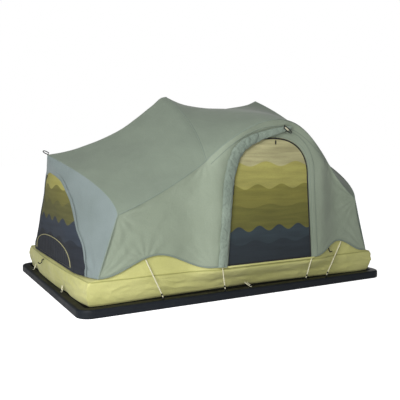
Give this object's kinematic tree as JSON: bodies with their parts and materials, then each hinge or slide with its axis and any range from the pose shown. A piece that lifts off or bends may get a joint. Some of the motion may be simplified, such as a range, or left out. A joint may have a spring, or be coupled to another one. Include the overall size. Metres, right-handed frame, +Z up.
{
  "type": "roof top tent",
  "caption": "Hoop-framed roof top tent on a flat framed base: soft fly, coated floor tub, arched mesh doors both sides, mesh end windows, mattress and guy cords.",
  "frame": {"origin": "on the ground plane under the middle of the base", "axes": "+X along the base's long side towards the end nearer the door's right jamb, +Y across the tent to its far side, +Z up"},
  "size_m": [2.2, 1.6018, 1.267],
  "materials": {
    "anodised_frame": "satin black anodised",
    "deck_sheet": "matt black coated sheet",
    "pole_alloy": "satin drawn tube",
    "black_plastic": "moulded, fine texture",
    "fly_cloth": "sage coated ripstop",
    "end_cloth": "grey-blue coated ripstop",
    "tub_cloth": "yellow-green coated floor cloth",
    "door_print": "printed fine mesh",
    "mattress_cloth": "knitted foam cover",
    "cord_cream": "braided cord"
  },
  "bodies": {
    "tent": {"base_deck": "deck_sheet", "brow_pole_far": "pole_alloy", "brow_pole_near": "pole_alloy", "clip_far_left": "black_plastic", "clip_far_right": "black_plastic", "clip_near_left": "black_plastic", "clip_near_right": "black_plastic", "corner_far_left": "anodised_frame", "corner_far_right": "anodised_frame", "corner_near_left": "anodised_frame", "corner_near_right": "anodised_frame", "door_roll_far": "end_cloth", "door_roll_near": "end_cloth", "elastic_loop_left_front": "cord_cream", "elastic_loop_left_rear": "cord_cream", "elastic_loop_near": "cord_cream", "end_arch_left": "pole_alloy", "end_arch_right": "pole_alloy", "floor_tub": "tub_cloth", "fly_end_left": "end_cloth", "fly_end_right": "end_cloth", "fly_roof_left": "fly_cloth", "fly_roof_middle": "fly_cloth", "fly_roof_right": "fly_cloth", "fly_side_far": "fly_cloth", "fly_side_near": "fly_cloth", "guy_cord_door_left": "cord_cream", "guy_cord_door_right": "cord_cream", "guy_cord_outer_left": "cord_cream", "guy_cord_outer_right": "cord_cream", "hub_far_left": "black_plastic", "hub_far_right": "black_plastic", "hub_near_left": "black_plastic", "hub_near_right": "black_plastic", "leg_pole_far_left": "pole_alloy", "leg_pole_far_right": "pole_alloy", "leg_pole_near_left": "pole_alloy", "leg_pole_near_right": "pole_alloy", "main_hoop_left": "pole_alloy", "main_hoop_right": "pole_alloy", "mattress": "mattress_cloth", "mounting_channel_far": "anodised_frame", "mounting_channel_near": "anodised_frame", "peak_loop_left": "end_cloth", "peak_loop_right": "end_cloth", "rail_far": "anodised_frame", "rail_left": "anodised_frame", "rail_near": "anodised_frame", "rail_right": "anodised_frame", "roll_toggle_far": "black_plastic", "roll_toggle_near": "black_plastic", "window_left": "door_print", "window_right": "door_print"},
    "near_door": {"door_near": "door_print"},
    "far_door": {"door_far": "door_print"},
    "near_zip": {"zip_pull_near": "black_plastic"},
    "far_zip": {"zip_pull_far": "black_plastic"},
    "left_vent": {"vent_flap_left": "door_print"},
    "right_vent": {"vent_flap_right": "door_print"}
  },
  "joints": [
    {"name": "near_door_swing", "type": "hinge", "parent": "tent", "child": "near_door", "pos_m": [-0.1914, -0.745, 0.2005], "axis": [0.0775, 0, 0.997], "range_deg": [0, 95]},
    {"name": "far_door_swing", "type": "hinge", "parent": "tent", "child": "far_door", "pos_m": [-0.1914, 0.745, 0.2005], "axis": [-0.0775, 0, -0.997], "range_deg": [0, 95]},
    {"name": "near_zip_swing", "type": "hinge", "parent": "near_door", "child": "near_zip", "pos_m": [0.157, -0.7483, 0.961], "axis": [-1, 0, 0], "range_deg": [0, 110]},
    {"name": "far_zip_swing", "type": "hinge", "parent": "far_door", "child": "far_zip", "pos_m": [0.157, 0.7483, 0.961], "axis": [1, 0, 0], "range_deg": [0, 110]},
    {"name": "left_vent_swing", "type": "hinge", "parent": "tent", "child": "left_vent", "pos_m": [-1.0488, 0, 0.216], "axis": [0, -1, 0], "range_deg": [0, 100]},
    {"name": "right_vent_swing", "type": "hinge", "parent": "tent", "child": "right_vent", "pos_m": [1.0488, 0, 0.216], "axis": [0, 1, 0], "range_deg": [0, 100]}
  ]
}
